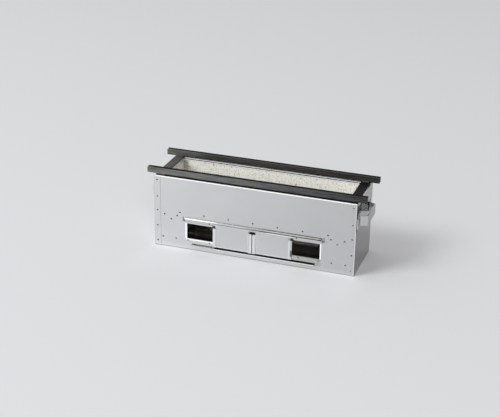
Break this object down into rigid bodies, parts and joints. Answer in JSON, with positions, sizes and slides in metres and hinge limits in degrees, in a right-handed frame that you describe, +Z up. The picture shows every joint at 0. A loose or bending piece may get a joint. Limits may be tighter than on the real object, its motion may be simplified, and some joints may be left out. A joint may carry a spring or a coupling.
{
  "type": "yakitori grill",
  "caption": "Long stainless charcoal grill for skewers, lined with stone, with sliding air doors, strip handles and a loose iron frame of square bars.",
  "frame": {"origin": "centre of the casing's base", "axes": "+X along the casing, the air doors face -Y, +Z up"},
  "size_m": [0.646, 0.1874, 0.2385],
  "materials": {
    "sheet_steel": "stainless sheet with a bright, slightly uneven mill finish",
    "rivet_steel": "plain stainless blind rivets",
    "lining_stone": "matt cream stone with dark specks",
    "black_iron": "black mill scale on square and flat bar",
    "grate_iron": "raw casting"
  },
  "bodies": {
    "casing": {"front_panel": "sheet_steel", "back_panel": "sheet_steel", "right_end_panel": "sheet_steel", "left_end_panel": "sheet_steel", "bottom_pan": "sheet_steel", "front_ledge": "sheet_steel", "back_ledge": "sheet_steel", "right_bulkhead": "sheet_steel", "left_bulkhead": "sheet_steel", "top_rail": "sheet_steel", "bottom_rail": "sheet_steel", "right_handle": "sheet_steel", "left_handle": "sheet_steel", "front_corner_rivets": "rivet_steel", "back_corner_rivets": "rivet_steel", "front_ledge_rivets": "rivet_steel", "back_ledge_rivets": "rivet_steel", "front_bulkhead_rivets": "rivet_steel", "back_bulkhead_rivets": "rivet_steel", "right_handle_rivets": "rivet_steel", "left_handle_rivets": "rivet_steel", "front_slab": "lining_stone", "back_slab": "lining_stone", "right_slab": "lining_stone", "left_slab": "lining_stone"},
    "left_air_door": {"left_door": "sheet_steel"},
    "right_air_door": {"right_door": "sheet_steel"},
    "bar_frame": {"front_bar": "black_iron", "back_bar": "black_iron", "right_cross_flat": "black_iron", "left_cross_flat": "black_iron", "weld_beads": "black_iron"},
    "grate_1": {"grate_1": "grate_iron"},
    "grate_2": {"grate_2": "grate_iron"},
    "grate_3": {"grate_3": "grate_iron"}
  },
  "joints": [
    {"name": "left_door_slide", "type": "slide", "parent": "casing", "child": "left_air_door", "axis": [-1, 0, 0], "range_m": [0, 0.0827]},
    {"name": "right_door_slide", "type": "slide", "parent": "casing", "child": "right_air_door", "axis": [1, 0, 0], "range_m": [0, 0.0827]},
    {"name": "bar_frame_lift", "type": "slide", "parent": "casing", "child": "bar_frame", "axis": [0, 0, 1], "range_m": [0, 0.06]},
    {"name": "grate_1_lift", "type": "slide", "parent": "casing", "child": "grate_1", "axis": [0, 0, 1], "range_m": [0, 0.12]},
    {"name": "grate_2_lift", "type": "slide", "parent": "casing", "child": "grate_2", "axis": [0, 0, 1], "range_m": [0, 0.12]},
    {"name": "grate_3_lift", "type": "slide", "parent": "casing", "child": "grate_3", "axis": [0, 0, 1], "range_m": [0, 0.12]}
  ]
}
